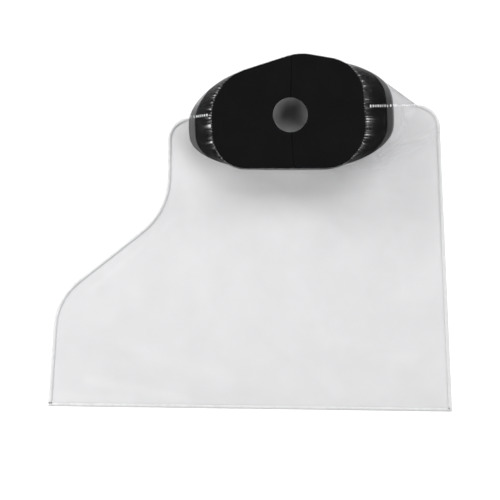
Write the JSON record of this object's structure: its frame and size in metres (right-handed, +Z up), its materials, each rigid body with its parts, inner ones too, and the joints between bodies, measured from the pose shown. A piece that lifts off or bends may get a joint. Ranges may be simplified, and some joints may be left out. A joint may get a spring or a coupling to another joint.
{
  "type": "waterproof foot cast cover",
  "caption": "Boot-shaped clear film bag with welded edges and a raised oval neoprene mouth that has a centre seam and a round stretch hole, lying flat.",
  "frame": {"origin": "middle of the whole cover's box, on the surface that the bag lies on", "axes": "+X from the toes to the heel, +Y from the sole weld to the mouth, +Z up from the surface"},
  "size_m": [0.376, 0.3314, 0.0344],
  "materials": {
    "film": "clear soft PVC film, glossy with a slight haze",
    "weld": "knurled heat weld, two films fused",
    "neoprene": "matte black neoprene sheet",
    "tape": "matte black knitted seam tape"
  },
  "bodies": {
    "bag": {"lower_film": "film", "upper_film": "film", "sole_weld": "weld", "heel_weld": "weld", "instep_weld": "weld"},
    "mouth": {"diaphragm_heel_half": "neoprene", "diaphragm_instep_half": "neoprene", "seam_tape_lower": "tape", "seam_tape_upper": "tape", "lower_film_collar": "film", "upper_film_collar": "film", "heel_tail_weld": "weld", "instep_tail_weld": "weld", "mouth_weld": "weld"}
  },
  "joints": [
    {"name": "mouth_tilt", "type": "hinge", "parent": "bag", "child": "mouth", "pos_m": [0.033, 0.16575, 0], "axis": [-1, 0, 0], "range_deg": [0, 75]}
  ]
}
